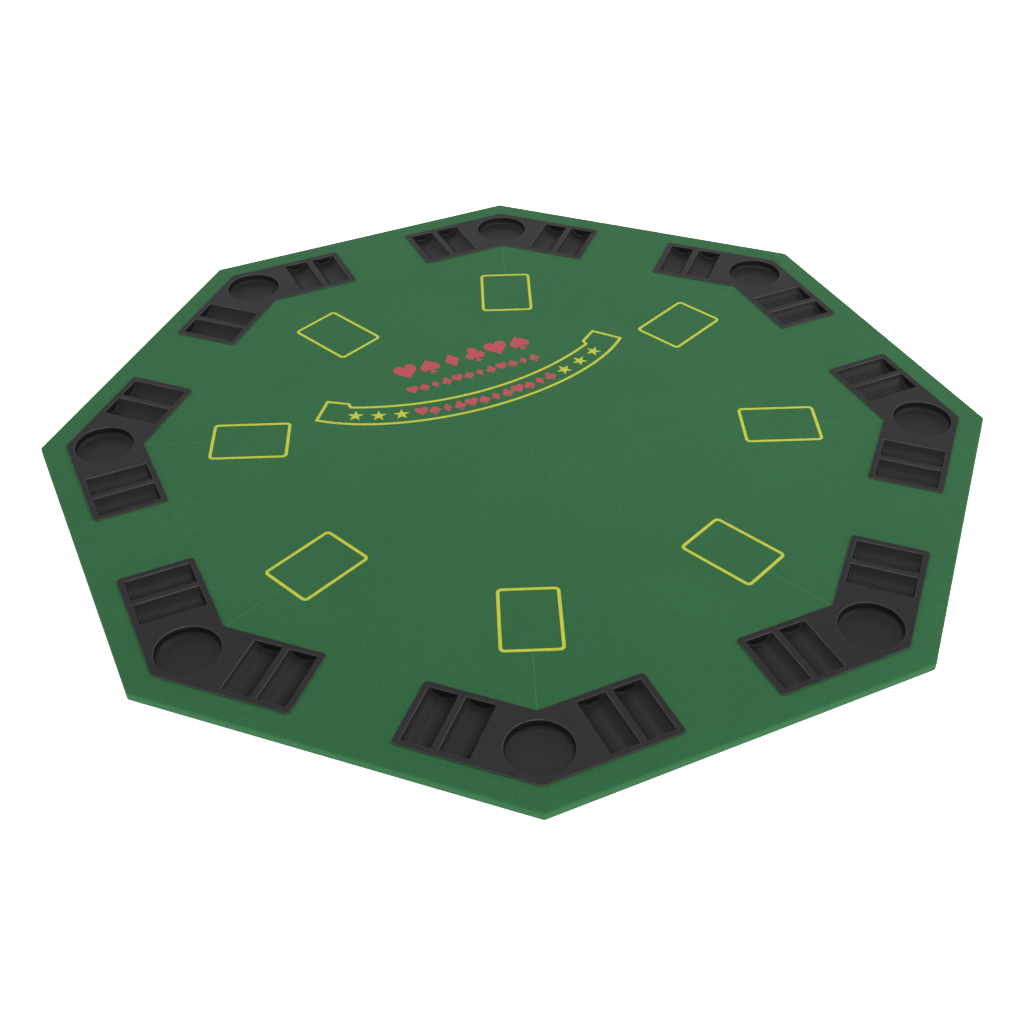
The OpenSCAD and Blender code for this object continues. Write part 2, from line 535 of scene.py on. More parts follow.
def plastic_material():
    """Satin black thermoformed sheet with a fine leather grain. Its rim edges are a little
    smoother and carry a painted highlight: a paler colour where they would catch light."""
    plastic = Surface("black_plastic", Specular_IOR_Level=0.15)
    grain = plastic.cells(1100, feature="SMOOTH_F1")
    haze = plastic.noise(14, detail=4)
    glint_unevenness = plastic.noise(60, detail=3)
    tilt = plastic.ranged(plastic.along(plastic.normal, "Z"), 0.97, 0.75)
    height = plastic.along(plastic.place, "Z")
    near_top = plastic.ranged(height, (RIM_TOP - GLINT_BELOW) * MM, (RIM_TOP - GLINT_ABOVE) * MM)
    edge = plastic.math("MULTIPLY", tilt, near_top)
    # Painted highlight: a paler colour on the rounded rim edges stands in for the glints they
    # catch. The same share also makes those edges a little smoother, and noise makes it uneven.
    pale_share = plastic.math("MULTIPLY", edge, plastic.ranged(glint_unevenness, 0.25, 0.6, 0.5, 1.0))
    sheet = plastic.mixed(haze, linear(25, 24, 25), linear(29, 28, 29))
    # The pale colour here is the painted highlight on the rim edges.
    plastic.colour(plastic.mixed(pale_share, sheet, linear(72, 70, 71)))
    satin = plastic.ranged(haze, 0.3, 0.7, 0.40, 0.50)
    plastic.roughness(plastic.math("SUBTRACT", satin, plastic.math("MULTIPLY", pale_share, 0.12)))
    plastic.bump(grain, 0.00025, 0.25)
    return plastic.material


def board_material():
    """Raw MDF: pressed fibre faces, and darker sawn edges with a loose core."""
    board = Surface("mdf", Roughness=0.8, Specular_IOR_Level=0.3)
    fibres = board.noise(650, detail=5, roughness=0.7)
    specks = board.cells(420)
    clouds = board.noise(7, detail=3)
    face = board.mixed(board.ranged(fibres, 0.3, 0.7), linear(158, 125, 89), linear(184, 152, 113))
    face = board.mixed(board.ranged(specks, 0.0, 0.12, 0.55, 0.0), face, linear(112, 84, 56))
    face = board.mixed(board.ranged(clouds, 0.45, 0.8, 0.0, 0.35), face, linear(143, 111, 78))
    core = board.mixed(board.ranged(fibres, 0.35, 0.65), linear(110, 82, 54), linear(144, 112, 78))
    upright = board.math("ABSOLUTE", board.along(board.normal, "Z"), 0.0)
    board.colour(board.mixed(board.ranged(upright, 0.4, 0.8), core, face))
    board.bump(fibres, 0.0006, 0.4)
    return board.material


def tape_material():
    """Black cotton tape: a plain weave of half-millimetre threads."""
    tape = Surface("woven_tape", Roughness=0.9, Specular_IOR_Level=0.25)
    warp = tape.wave(300, "X", 0.6)
    weft = tape.wave(300, "Y", 0.6)
    weave = tape.math("MAXIMUM", warp, weft)
    lint = tape.noise(900, detail=3)
    thread = tape.mixed(weave, linear(30, 31, 31), linear(52, 54, 53))
    tape.colour(tape.mixed(tape.ranged(lint, 0.6, 0.8, 0.0, 0.5), thread, linear(84, 86, 84)))
    tape.bump(weave, 0.0002, 0.5)
    return tape.material


def steel_material():
    """Galvanised wire with a dull, patchy zinc skin."""
    steel = Surface("galvanised_steel", Metallic=1.0)
    spangle = steel.noise(500, detail=3)
    steel.colour(steel.mixed(spangle, linear(150, 152, 156), linear(196, 198, 200)))
    steel.roughness(steel.ranged(spangle, 0.3, 0.7, 0.3, 0.5))
    steel.bump(steel.noise(1800, detail=2), 0.0001, 0.3)
    return steel.material


def rubber_material():
    """Soft black rubber with a matt, slightly dusty face."""
    rubber = Surface("black_rubber", Roughness=0.85, Specular_IOR_Level=0.3)
    grain = rubber.noise(1500, detail=3)
    dust = rubber.noise(120, detail=4)
    dusty = rubber.ranged(dust, 0.5, 0.8)
    rubber.colour(rubber.mixed(dusty, linear(30, 30, 31), linear(62, 61, 60)))
    rubber.bump(grain, 0.0002, 0.4)
    return rubber.material


def foam_material():
    """Closed-cell foam, seen only as the dark line under a tray's rim."""
    foam = Surface("black_foam", Roughness=0.95, Specular_IOR_Level=0.2)
    bubbles = foam.cells(2200)
    foam.colour(foam.mixed(foam.ranged(bubbles, 0.0, 0.6), linear(18, 18, 18), linear(44, 43, 43)))
    foam.bump(bubbles, 0.0003, 0.6)
    return foam.material


def floor_material():
    """Matt pale studio paper that gives off light of its own and so shows as white."""
    paper = Surface(
        "studio_paper", Roughness=0.9, Specular_IOR_Level=0.1,
        Emission_Color=(1.0, 1.0, 1.0, 1.0), Emission_Strength=0.85,
    )
    tooth = paper.noise(60, detail=3)
    paper.colour(paper.mixed(tooth, linear(243, 243, 243), linear(247, 247, 247)))
    return paper.material


# --------------------------------------------------------------------------------------
# Camera, floor and lights
# --------------------------------------------------------------------------------------


CAMERA_LENS = 50.12
CAMERA_AT = (-0.6566, -1.4212, 1.1994)  # metres
CAMERA_TURN = (49.647, 0.459, -24.924)  # degrees about X, Y and Z
FLOOR_HALF = 200000  # so wide that no horizon shows


def camera():
    """The photograph's view, solved from the octagon's eight corners."""
    data = bpy.data.cameras.new("camera")
    data.lens = CAMERA_LENS
    made = bpy.data.objects.new("camera", data)
    made.location = CAMERA_AT
    made.rotation_euler = [math.radians(a) for a in CAMERA_TURN]
    bpy.context.scene.collection.objects.link(made)
    bpy.context.scene.camera = made


def floor():
    size = FLOOR_HALF
    shape = Shape()
    shape.face([(-size, -size, 0), (size, -size, 0), (size, size, 0), (-size, size, 0)])
    make("floor", shape, floor_material())


def soft_sun(name, azimuth, elevation, strength, softness):
    """A wide, far light from an azimuth (from +X) and elevation, all in degrees."""
    data = bpy.data.lights.new(name, "SUN")
    data.energy = strength
    data.angle = math.radians(softness)
    made = bpy.data.objects.new(name, data)
    turn, rise = math.radians(azimuth), math.radians(elevation)
    towards = Vector((
        math.cos(turn) * math.cos(rise), math.sin(turn) * math.cos(rise), math.sin(rise)
    ))
    made.rotation_euler = towards.to_track_quat("Z", "Y").to_euler()
    bpy.context.scene.collection.objects.link(made)


def soft_box(name, place, size, power):
    """A square light with a side in metres, aimed at the middle of the table top."""
    data = bpy.data.lights.new(name, "AREA")
    data.energy = power
    data.size = size
    made = bpy.data.objects.new(name, data)
    made.location = place
    made.rotation_euler = Vector(place).to_track_quat("Z", "Y").to_euler()
    made.visible_camera = False
    bpy.context.scene.collection.objects.link(made)


def lights():
    """A white studio: a bright surround, two boxes and a low light from the front."""
    world = bpy.data.worlds.new("studio")
    bpy.context.scene.world = world
    world.use_nodes = True
    surround = world.node_tree.nodes["Background"]
    surround.inputs["Color"].default_value = (1.0, 1.0, 1.0, 1.0)
    surround.inputs["Strength"].default_value = 1.0
    bpy.context.scene.view_settings.view_transform = "Standard"
    soft_box("right_box", (1.5, -0.9, 1.5), 1.2, 12)
    soft_box("top_box", (0.1, 0.4, 2.4), 0.9, 12)
    soft_sun("low_front_light", -100, 2.5, 1.4, 5)


# --------------------------------------------------------------------------------------
# Cloth: the felt and the tape under the fold
# --------------------------------------------------------------------------------------


class Cloth:
    """A cloth as one layer whose points each have an outer and an inner place."""

    def __init__(self):
        self.outer = []
        self.inner = []
        self.faces = []
        self.places = Places()

    def index(self, outer, inner):
        found, new = self.places.number(outer)
        if new:
            self.outer.append(Vector(outer))
            self.inner.append(Vector(inner))
        return found

    def face(self, corners):
        ring = ring_of([self.index(*p) for p in corners])
        if ring:
            self.faces.append(ring)

    def grid(self, rows):
        """Quads between neighbouring rows of points."""
        for first, second in zip(rows, rows[1:]):
            for i in range(1, len(first)):
                self.face([first[i - 1], first[i], second[i], second[i - 1]])

    def closed(self):
        """The cloth as a closed shape: both faces and the cut edges between them."""
        shape = Shape()
        count = len(self.outer)
        shape.points = self.outer + self.inner
        shape.faces = self.faces + [[i + count for i in reversed(f)] for f in self.faces]
        uses = {}
        for f in self.faces:
            for a, b in zip(f, f[1:] + f[:1]):
                uses.setdefault((min(a, b), max(a, b)), []).append((a, b))
        for found in uses.values():
            if len(found) == 1:
                a, b = found[0]
                shape.faces.append([b, a, a + count, b + count])
        return shape


def smooth_share(t):
    """The share by which a point turns at t of the way over the bending strip."""
    return 0.5 - math.sin(math.asin(1 - 2 * t) / 3)


# Rows across the fold: fine and evenly turned in the bending strip, then wider
BEND_ROWS = [
    (2 * smooth_share(i / BEND_STEPS) - 1) * BEND_HALF_W for i in range(BEND_STEPS + 1)
]
OUTER_ROWS = [SLIT_HALF_W, 1.5, 3, CREASE_HALF_W, 12, TAPE_HALF_W + 0.3, TAPE_HALF_W + 2]
FOLD_ROWS = [-y for y in reversed(OUTER_ROWS)] + BEND_ROWS + OUTER_ROWS
FOLD_END = OUTER_ROWS[-1]
TOP_EDGE = EDGE - EDGE_R  # where the felt's top starts to round over


def crease(y):
    """Depth of the shallow valley along the fold."""
    t = min(abs(y) / CREASE_HALF_W, 1)
    return CREASE_DEPTH * (1 - t * t * (3 - 2 * t))


def felt_inner_z(x, y):
    """Underside of the felt's top: on the board, or on the tape over the fold."""
    on_tape = abs(y) < TAPE_HALF_W + 1 and abs(x) < TAPE_HALF_L + 3
    return TAPE_TOP + CLEAR if on_tape else BOARD_TOP


def top_point(x, y):
    return (x, y, FELT_TOP - crease(y)), (x, y, felt_inner_z(x, y))


def edge_rows():
    """Rows of the felt from its top round the edge to the hem's cut edge, each as inset
    and height of the outer face, then of the inner face."""
    rows = []
    for a in span(0, math.pi / 2, 5):
        inner_r = EDGE_R - FELT_T
        z = FELT_TOP - EDGE_R
        rows.append((
            EDGE_R - EDGE_R * math.sin(a), z + EDGE_R * math.cos(a),
            EDGE_R - inner_r * math.sin(a), z + inner_r * math.cos(a),
        ))
    middle = (FELT_TOP + HEM_Z) / 2
    rows.append((0, middle, FELT_T, middle))
    for a in span(0, math.pi / 2, 4):
        inner_r = HEM_R - FELT_T
        z = HEM_Z + HEM_R
        rows.append((
            HEM_R - HEM_R * math.cos(a), z - HEM_R * math.sin(a),
            HEM_R - inner_r * math.cos(a), z - inner_r * math.sin(a),
        ))
    for inset in (MITRE_START, 8, 12, 17, 22, 26, HEM_W):
        rows.append((inset, HEM_Z, inset, HEM_Z + FELT_T))
    return rows


def hem_wave(inset, s, side):
    """Unevenness of the hand-cut edge of the hem."""
    share = max(inset - HEM_WAVE_START, 0) / (HEM_W - HEM_WAVE_START)
    return share * (0.7 * math.sin(s / 31 + 2 * side) + 0.4 * math.sin(s / 9.5 + side))


def mitre_gap(inset):
    """Half the width of the slit in the hem at a corner."""
    return 0.0 if inset <= MITRE_START else 0.3 + 0.05 * (inset - MITRE_START)


def corner_station(sign, turn):
    """Place on a side's rounded corner, as a function of the inset: (n, s)."""

    def place(inset):
        radius = max(CORNER_R - inset, LEAST_R)
        n = EDGE - inset - radius
        s = n * math.tan(HALF_TURN) + radius * math.sin(turn) - mitre_gap(inset)
        return n + radius * math.cos(turn), sign * s

    return place


def line_station(s):
    return lambda inset: (EDGE - inset, s)


def side_runs(side):
    """The stations along one side of the octagon, from corner to corner. The two sides
    that the fold crosses have two runs each, with a slit between them."""
    turns = span(HALF_TURN, 0, 4)
    first = [corner_station(-1, t) for t in turns]
    last = [corner_station(1, t) for t in reversed(turns)]
    if side % (SIDES // 2):
        places = span(-SIDE_REACH, SIDE_REACH, 2 * SIDE_STEPS)
        return [first + [line_station(s) for s in places] + last]
    beyond = span(FOLD_END, SIDE_REACH, SIDE_STEPS - 1)[1:]
    near = [line_station(s) for s in OUTER_ROWS]
    far = [line_station(s) for s in beyond]
    near_back = [line_station(-s) for s in reversed(OUTER_ROWS)]
    far_back = [line_station(-s) for s in reversed(beyond)]
    return [first + far_back + near_back, near + far + last]


def edge_point(station, row, side):
    """A point of the felt's turned edge: its outer and its inner place."""
    outer_in, outer_z, inner_in, inner_z = row
    n, s = station(outer_in)
    inner_n = station(inner_in)[0] if outer_in <= MITRE_START else n
    inner_s = station(inner_in)[1] if outer_in <= MITRE_START else s
    wave = hem_wave(outer_in, s, side)
    angle = side * 2 * math.pi / SIDES
    outer = turned([Vector((n - wave, s))], angle)[0]
    inner = turned([Vector((inner_n - wave, inner_s))], angle)[0]
    share = max(0.0, (outer_z - FELT_TOP + EDGE_R) / EDGE_R)
    return (*outer, outer_z - crease(outer.y) * share), (*inner, inner_z)


def felt_half(side_sign):
    """Boundary and holes of the flat top on one half, outside the rows at the fold."""
    loop = []
    start = 0 if side_sign > 0 else SIDES // 2
    for i in range(SIDES // 2 + 1):
        side = (start + i) % SIDES
        runs = side_runs(side)
        run = runs[-1] if i == 0 else runs[0]
        for station in run:
            at = turned([Vector(station(EDGE_R))], side * 2 * math.pi / SIDES)[0]
            new = not loop or (at - loop[-1]).length > NEAR
            if new and side_sign * at.y > FOLD_END - NEAR:
                loop.append(at)
    across = [Vector((side_sign * x, side_sign * FOLD_END)) for x in fold_stations()[1:-1]]
    corners = range(1, 5) if side_sign > 0 else range(5, 9)
    holes = [turned(tray_outline(CUT_IN), corner_angle(k)) for k in corners]
    return [loop + across] + holes


def fold_stations():
    """Places along the fold where the felt has points."""
    near_end = TAPE_HALF_L + 2
    return [-TOP_EDGE, *span(-near_end, near_end, FOLD_STEPS), TOP_EDGE]


def felt():
    """The one uncut felt: its top, its turned edge and the hem under the boards."""
    cloth = Cloth()
    cloth.grid([[top_point(x, y) for x in fold_stations()] for y in FOLD_ROWS])
    for sign in (1, -1):
        loops = felt_half(sign)
        keep = in_ring(loops)
        grid = [i * GRID for i in range(-GRID_REACH, GRID_REACH + 1)]
        far = [y for y in grid if sign * y > FOLD_END + GRID_CLEAR]
        spots = [(x, y) for x in grid for y in far if keep(x, y)]
        for t in fill(loops, keep, spots):
            cloth.face([top_point(p.x, p.y) for p in t])
    for side in range(SIDES):
        for run in side_runs(side):
            cloth.grid([[edge_point(st, row, side) for st in run] for row in edge_rows()])
    made = make("felt", cloth.closed(), felt_material(), sharp=50)
    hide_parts("felt_front", "felt_back")
    bend(made)
    cut_width = 2 * (EDGE + FELT_TOP - HEM_Z + HEM_W)
    cut_area = 2 * math.tan(HALF_TURN) * cut_width**2 - SIDES * area(tray_outline(CUT_IN))


def bend(cloth):
    """Moves the cloth's placement into its mesh points."""
    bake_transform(cloth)


def hinge_tape():
    """The cloth tape glued over the joint of the boards, under the felt."""
    cloth = Cloth()
    rows = [-TAPE_HALF_W, -12, -3, *BEND_ROWS, 3, 12, TAPE_HALF_W]
    places = span(-TAPE_HALF_L, TAPE_HALF_L, FOLD_STEPS)
    cloth.grid([[((x, y, TAPE_TOP), (x, y, BOARD_TOP)) for x in places] for y in rows])
    made = make("hinge_tape", cloth.closed(), tape_material())
    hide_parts("hinge_tape_front", "hinge_tape_back")
    bend(made)


# --------------------------------------------------------------------------------------
# Trays
# --------------------------------------------------------------------------------------

SLOT_CORNER_R = 1.8
SLOT_RIM_R = 1.0
SLOT_FOOT_R = 3.0
CUP_RIM_R = 1.2
CUP_FOOT_R = 5.5
UNDER_RIM_R = 0.3  # where a pocket meets the underside of the rim
TRAY_EDGE_R = 0.9
SUPPORT = 0.5  # a row of points round each pocket that keeps the rim's shading flat
TROUGH_Z = FLOOR_Z + SLOT_R  # middle of the circle of a slot's bottom


def pocket_height(inset, floor_z, rim_z, rim_r, foot_r):
    """Height of a formed pocket at a distance in from its mouth: a rounded rim, a wall
    with draft and a rounded foot on the floor."""
    depth = rim_z - floor_z
    arc = 1 - math.cos(DRAFT)
    rim_r = min(rim_r, 0.5 * depth / arc)
    foot_r = min(foot_r, 0.5 * depth / arc)
    wall_in = rim_r * math.sin(DRAFT)
    wall_z = rim_z - rim_r * arc
    floor_in = wall_in + (wall_z - floor_z) / math.tan(DRAFT)
    length = foot_r * math.tan(DRAFT / 2)
    if inset <= wall_in:
        return rim_z - rim_r + math.sqrt(max(rim_r**2 - inset**2, 0))
    if inset <= floor_in - length * math.cos(DRAFT):
        return wall_z - (inset - wall_in) * math.tan(DRAFT)
    if inset < floor_in + length:
        return floor_z + foot_r - math.sqrt(max(foot_r**2 - (floor_in + length - inset) ** 2, 0))
    return floor_z


def trough_half(radius, rim_z, rim_r):
    """Half the width of a slot's mouth."""
    return math.sqrt((radius + rim_r) ** 2 - (TROUGH_Z - rim_z + rim_r) ** 2)


def trough_height(v, radius, rim_z, rim_r):
    """Height of a slot's round bottom at v from its middle line."""
    half = trough_half(radius, rim_z, rim_r)
    v = abs(v)
    if v >= half:
        return rim_z
    if v > half * radius / (radius + rim_r):
        return rim_z - rim_r + math.sqrt(max(rim_r**2 - (half - v) ** 2, 0))
    return TROUGH_Z - math.sqrt(radius**2 - v**2)


def slot_ring(half_l, half_w, inset):
    """A rounded rectangle, drawn in by inset: plane points in the slot's own frame."""
    length = half_l - inset
    width = max(half_w - inset, 0)
    radius = min(max(SLOT_CORNER_R - inset, 0.3), width)
    ring = []
    for quarter, (u, v) in enumerate(((1, 1), (-1, 1), (-1, -1), (1, -1))):
        centre = Vector((u * (length - radius), v * (width - radius)))
        ring += [centre + polar(radius, math.pi / 2 * (quarter + i / 4)) for i in range(5)]
        steps = 8 if quarter % 2 == 0 else 14
        following = ((-1, 1), (-1, -1), (1, -1), (1, 1))[quarter]
        goal = Vector((following[0] * (length - radius), following[1] * (width - radius)))
        start = ring[-1]
        end = goal + polar(radius, math.pi / 2 * (quarter + 1))
        ring += [start.lerp(end, i / steps) for i in range(1, steps)]
    return ring


def slot_rings(half_l, radius, rim_z, rim_r, foot_r, insets):
    """Rings of points of one slot, from its mouth to the line along its bottom."""
    half_w = trough_half(radius, rim_z, rim_r)
    rings = []
    for inset in [*insets, half_w]:
        ring = []
        for p in slot_ring(half_l, half_w, inset):
            floor_z = trough_height(p.y, radius, rim_z, rim_r)
            ring.append((p.x, p.y, pocket_height(inset, floor_z, rim_z, rim_r, foot_r)))
        rings.append(ring)
    return rings


def cup_rings(radius, floor_z, rim_z, rim_r, foot_r, insets):
    """Rings of points of the cup holder, from its mouth to the middle of its floor."""
    rings = []
    for inset in [*insets, radius]:
        z = pocket_height(inset, floor_z, rim_z, rim_r, foot_r)
        circle = [polar(radius - inset, a) for a in span(0, 2 * math.pi, CUP_POINTS)[:-1]]
        rings.append([(*p, z) for p in circle])
    return rings


SLOT_INSETS = [
    0, 0.26, 0.5, 0.71, 0.87, 0.97, 1.02, 1.15, 1.3, 1.45, 1.6, 1.68, 1.75, 1.9, 2.15,
    2.5, 2.8, 3.2, 4.2, 6, 8.5, 11.5, 14.5, 17.5,
]
UNDER_SLOT_INSETS = [0, 0.15, 0.3, 0.6, 0.9, 1.1, 1.4, 1.8, 2.3, 3, 4.5, 7, 11, 15]
CUP_INSETS = [
    0, 0.32, 0.62, 0.88, 1.07, 1.18, 1.22, 1.4, 1.55, 1.7, 1.82, 1.95, 2.2, 2.6, 3.1,
    3.7, 4.4, 5.2, 12, 26,
]
UNDER_CUP_INSETS = [0, 0.15, 0.3, 0.55, 0.8, 1.0, 1.3, 1.8, 2.5, 3.4, 4.4, 5.4, 12, 26]


def slot_places():
    """Middle and direction of each of the four slots of a tray, in its frame."""
    for side in (-1, 1):
        for i in range(2):
            s = TRAY_END + SLOT_START + i * SLOT_PITCH
            yield arm_point(SLOT_N, s, side), side * HALF_TURN


def on_arm(ring, at, angle):
    """A ring of a slot, moved from the slot's frame to the tray's."""
    turn = Matrix.Rotation(angle, 2)
    moved = []
    for x, y, z in ring:
        p = turn @ Vector((x, y)) + at
        moved.append((p.x, p.y, z))
    return moved


def plan(ring):
    return [Vector(p[:2]) for p in ring]


def tray_face(shape, rim_z, outer, pockets, support):
    """The flat of a rim, with a hole for each pocket and a row of points round it."""
    loops = [outer] + [plan(p) for p in pockets]
    rows = [plan(s) for s in support]
    keep = in_ring(loops)
    shape.flat(fill(loops + rows, keep), rim_z)


def tray_side(shape, up):
    """One face of the tray's sheet, top or underside: its pockets and its flat."""
    wall = 0 if up else WALL
    rim_z = RIM_TOP - wall
    slot_rim_r = SLOT_RIM_R if up else UNDER_RIM_R
    cup_rim_r = CUP_RIM_R if up else UNDER_RIM_R
    slot_half = SLOT_L / 2 + wall + slot_rim_r
    cup_mouth = CUP_R + wall + cup_rim_r
    mouths = []
    support = []
    for at, angle in slot_places():
        rings = slot_rings(
            slot_half, SLOT_R + wall, rim_z, slot_rim_r, SLOT_FOOT_R + wall,
            SLOT_INSETS if up else UNDER_SLOT_INSETS,
        )
        rings = [on_arm(r, at, angle) for r in rings]
        shape.rings(rings)
        mouths.append(rings[0])
        half_w = trough_half(SLOT_R + wall, rim_z, slot_rim_r)
        around = [(*p, rim_z) for p in slot_ring(slot_half + SUPPORT, half_w + SUPPORT, 0)]
        support.append(on_arm(around, at, angle))
    rings = cup_rings(
        cup_mouth, FLOOR_Z - wall, rim_z, cup_rim_r, CUP_FOOT_R + wall,
        CUP_INSETS if up else UNDER_CUP_INSETS,
    )
    rings = [on_arm(r, Vector((CUP_AT, 0)), 0.0) for r in rings]
    shape.rings(rings)
    mouths.append(rings[0])
    turns = span(0, 2 * math.pi, CUP_POINTS)[:-1]
    around = [(*polar(cup_mouth + SUPPORT, a), rim_z) for a in turns]
    support.append(on_arm(around, Vector((CUP_AT, 0)), 0.0))
    inset = TRAY_EDGE_R if up else UNDER_RIM_R
    support.append([(*p, rim_z) for p in tray_outline(inset + SUPPORT)])
    tray_face(shape, rim_z, tray_outline(inset), mouths, support)


def tray_shape():
    """A thermoformed tray in its diagonal's frame: one sheet of even thickness."""
    shape = Shape()
    tray_side(shape, up=True)
    tray_side(shape, up=False)
    edge = []
    for a in span(0, math.pi / 2, 5):
        inset = TRAY_EDGE_R - TRAY_EDGE_R * math.sin(a)
        z = RIM_TOP - TRAY_EDGE_R + TRAY_EDGE_R * math.cos(a)
        edge.append([(*p, z) for p in tray_outline(inset)])
    for a in span(0, math.pi / 2, 2)[1:]:
        inset = UNDER_RIM_R - UNDER_RIM_R * math.cos(a)
        z = RIM_Z + UNDER_RIM_R - UNDER_RIM_R * math.sin(a)
        edge.append([(*p, z) for p in tray_outline(inset)])
    shape.rings(edge)
    return shape


def trays():
    plastic = plastic_material()
    shape = tray_shape()
    for k in range(1, SIDES + 1):
        made = make(f"chip_tray_{k}", shape.turned(corner_angle(k)), plastic)
        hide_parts(f"tray_{k}")
        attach(made, body_of_corner(k))


# --------------------------------------------------------------------------------------
# Prints on the felt
# --------------------------------------------------------------------------------------

INK_T = 0.12
INK_SINK = 0.05
LINE_W = 4.2
CARD_BOX = (107, 78)  # along the diagonal and across it, over the line
CARD_BOX_START = 311  # from the middle of the table top
CARD_BOX_R = 5
CORNER_LINE_W = 1.5
CORNER_LINE_END = TRAY_IN / math.cos(HALF_TURN) + 2
BAND_R = 425  # upper line of the betting band
BAND_MIDDLE = 534.8
BAND_TAB_X = 186
BAND_LOW = (282, 159, 228.7)  # half axes of the ellipse of the lower line, and its middle
BAND_END = 239.5
BAND_TAB = [(186, 162), (211, 179.5)]
STAR_R = 12
STARS = [(127, 107), (157.5, 117.5), (187, 131)]
ROW_LARGE = (6, 36, 36, 7)  # count of suits, their height, spacing and the row's middle
ROW_LARGE_Y = 199.5
ROW_SMALL = (12, 18, 17.4, 5)
ROW_SMALL_Y = 154
ROW_BAND = (12, 20, 18.2, 1)
SUIT_WIDTH = 0.86  # narrows the suits


def printed(name, triangles, material, body):
    """A thin layer of ink on the felt."""
    shape = Shape()
    shape.plate(triangles, FELT_TOP - INK_SINK, FELT_TOP + INK_T)
    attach(make(name, shape, material), body)


def outlined(path, width):
    """Two loops at either side of a closed path, half the width away, with mitres."""
    loops = []
    count = len(path)
    for sign in (1, -1):
        loop = []
        for i, p in enumerate(path):
            into = (p - path[i - 1]).normalized()
            out = (path[(i + 1) % count] - p).normalized()
            across = Vector((into.y + out.y, -into.x - out.x)).normalized()
            reach = width / 2 / max(across.dot(Vector((into.y, -into.x))), 0.5)
            loop.append(p + across * reach * sign)
        loops.append(loop)
    return sorted(loops, key=area, reverse=True)


def line_triangles(path, width):
    loops = outlined(path, width)
    return fill(loops, in_ring(loops))


def band_upper(x):
    return BAND_MIDDLE - math.sqrt(BAND_R**2 - x**2)


def band_lower(x):
    half_x, half_y, middle = BAND_LOW
    return middle - half_y * math.sqrt(1 - (x / half_x) ** 2)


def band_path():
    """Centre of the band's yellow line, counter-clockwise from its lower left end."""
    lower = [Vector((x, band_lower(x))) for x in span(-BAND_END, BAND_END, 60)]
    tab = [Vector(p) for p in BAND_TAB]
    right = list(reversed(tab))
    upper = [Vector((x, band_upper(x))) for x in span(BAND_TAB_X, -BAND_TAB_X, 48)]
    left = [Vector((-p.x, p.y)) for p in tab]
    return lower + right + upper + left


def star():
    """Five-pointed star of radius 1, one point up."""
    inner = 0.382
    turn = math.pi / 5
    return [polar(inner if i % 2 else 1.0, math.pi / 2 + i * turn) for i in range(10)]


def heart(steps=72):
    """Heart of height 1."""
    loop = []
    for t in span(0, 2 * math.pi, steps)[:-1]:
        y = 13 * math.cos(t) - 5 * math.cos(2 * t) - 2 * math.cos(3 * t) - math.cos(4 * t)
        loop.append(Vector((16 * math.sin(t) ** 3, y + 2.5)) / 29)
    return [loop]


def diamond():
    """Diamond of height 1 with slightly hollow sides."""
    power = 1.12
    loop = []
    for t in span(0, 2 * math.pi, 32)[:-1]:
        x = math.copysign(abs(math.cos(t)) ** (2 * power), math.cos(t))
        y = math.copysign(abs(math.sin(t)) ** (2 * power), math.sin(t))
        loop.append(Vector((0.37 * x, 0.5 * y)))
    return [loop]


def stem(top):
    """Flared stem of a spade or a club."""
    half = [Vector((0.03, top)), Vector((0.05, -0.28)), Vector((0.1, -0.42)), Vector((0.2, -0.5))]
    return half + [Vector((-p.x, p.y)) for p in reversed(half)]


def spade():
    """Spade of height 1."""
    upturned = [Vector((p.x * 0.86, 0.1 - p.y * 0.8)) for p in heart()[0]]
    return [upturned, stem(0.0)]


def club():
    """Club of height 1."""
    leaf = 0.225
    middles = [(0, 0.27), (-0.24, -0.08), (0.24, -0.08)]
    turns = span(0, 2 * math.pi, 40)[:-1]
    leaves = [[Vector(m) + polar(leaf, t) for t in turns] for m in middles]
    heart_piece = [polar(0.16, t) + Vector((0, 0.03)) for t in turns]
    return leaves + [heart_piece, stem(0.0)]


SUITS = [heart, spade, diamond, club]


def suit_triangles(index, at, angle, height):
    drawn = SUITS[index % len(SUITS)]()
    suit = [[Vector((p.x * SUIT_WIDTH, p.y)) for p in loop] for loop in drawn]
    loops = [placed(loop, at, angle, height) for loop in suit]
    return fill(loops, in_any(loops))


def suit_row(row, height_at, angle_at):
    """One row of suits, whose y and angle are functions of x."""
    count, size, spacing, middle = row
    triangles = []
    for i in range(count):
        x = middle + (i - (count - 1) / 2) * spacing
        triangles += suit_triangles(i, (x, height_at(x)), angle_at(x), size)
    return triangles


def band_middle(x):
    return (band_upper(x) + band_lower(x)) / 2


def band_angle(x):
    return math.atan(x / math.sqrt(BAND_R**2 - x**2))


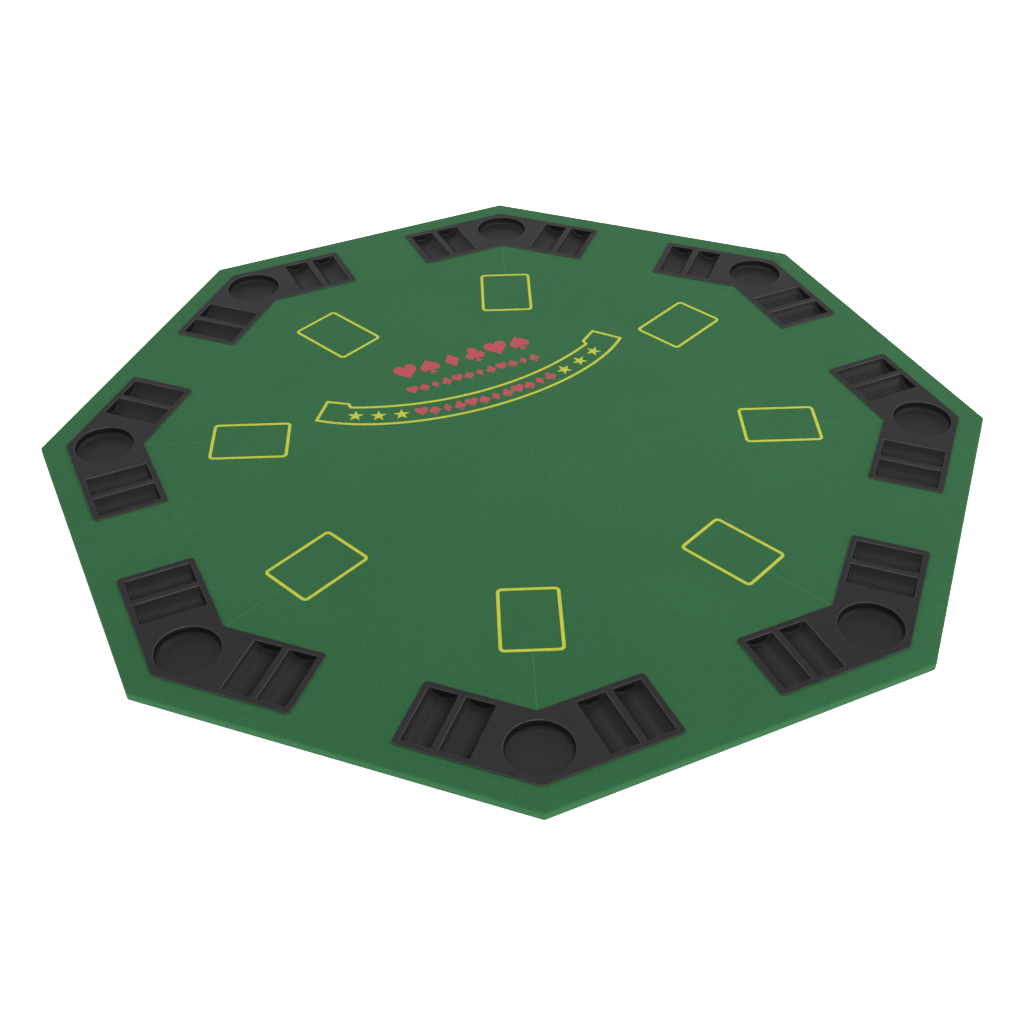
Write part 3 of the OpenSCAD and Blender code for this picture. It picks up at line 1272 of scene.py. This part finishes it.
def prints():
    yellow = ink_material("yellow_ink", INK_YELLOW)
    red = ink_material("red_ink", INK_RED)
    green = ink_material("pale_green_ink", INK_GREEN)
    printed("bet_band", line_triangles(band_path(), LINE_W), yellow, "back")
    stars = []
    for x, y in STARS:
        for sign in (-1, 1):
            loop = placed(star(), (sign * x, y), sign * band_angle(x), STAR_R)
            stars += fill([loop], in_any([loop]))
    printed("bet_stars", stars, yellow, "back")
    large = suit_row(ROW_LARGE, lambda x: ROW_LARGE_Y, lambda x: 0.0)
    printed("suits_large", large, red, "back")
    small = suit_row(ROW_SMALL, lambda x: ROW_SMALL_Y, lambda x: 0.0)
    printed("suits_small", small, red, "back")
    printed("suits_band", suit_row(ROW_BAND, band_middle, band_angle), red, "back")
    length, width = (size - LINE_W for size in CARD_BOX)
    middle = CARD_BOX_START + CARD_BOX[0] / 2
    corners = [Vector((x, y)) for x, y in ((1, -1), (1, 1), (-1, 1), (-1, -1))]
    corners = [Vector((middle + c.x * length / 2, c.y * width / 2)) for c in corners]
    box = rounded(corners, [CARD_BOX_R] * 4, 4)
    start = CARD_BOX_START + CARD_BOX[0]
    half = CORNER_LINE_W / 2
    line = [(start, -half), (CORNER_LINE_END, -half), (CORNER_LINE_END, half), (start, half)]
    for k in range(1, SIDES + 1):
        angle = corner_angle(k)
        body = body_of_corner(k)
        printed(f"card_box_{k}", line_triangles(turned(box, angle), LINE_W), yellow, body)
        loop = turned([Vector(p) for p in line], angle)
        printed(f"corner_line_{k}", fill([loop], in_any([loop])), green, body)


# --------------------------------------------------------------------------------------
# CAD nodes that stay
# --------------------------------------------------------------------------------------


def finish_nodes(names, material, bevel):
    """Gives CAD nodes their material and breaks their sharp edges."""
    for name in names:
        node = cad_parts[name]
        node.data.materials.clear()
        node.data.materials.append(material)
        weld = node.modifiers.new("weld", "WELD")
        weld.merge_threshold = NEAR * MM
        edge = node.modifiers.new("edge", "BEVEL")
        edge.width = bevel * MM
        edge.segments = 3
        edge.limit_method = "ANGLE"
        edge.angle_limit = math.radians(40)
        edge.use_clamp_overlap = True
        shade = node.modifiers.new("shade", "WEIGHTED_NORMAL")
        shade.weight = 100


def cad_nodes():
    finish_nodes(["board_front", "board_back"], board_material(), 0.3)
    finish_nodes(["staples_front", "staples_back"], steel_material(), 0.15)
    finish_nodes(["foot_pads_front", "foot_pads_back"], rubber_material(), 0.5)
    tapes = [f"tray_tape_{k}" for k in range(1, SIDES + 1)]
    finish_nodes(tapes, foam_material(), 0.1)


# --------------------------------------------------------------------------------------

camera()
floor()
lights()
felt()
hinge_tape()
trays()
prints()
cad_nodes()
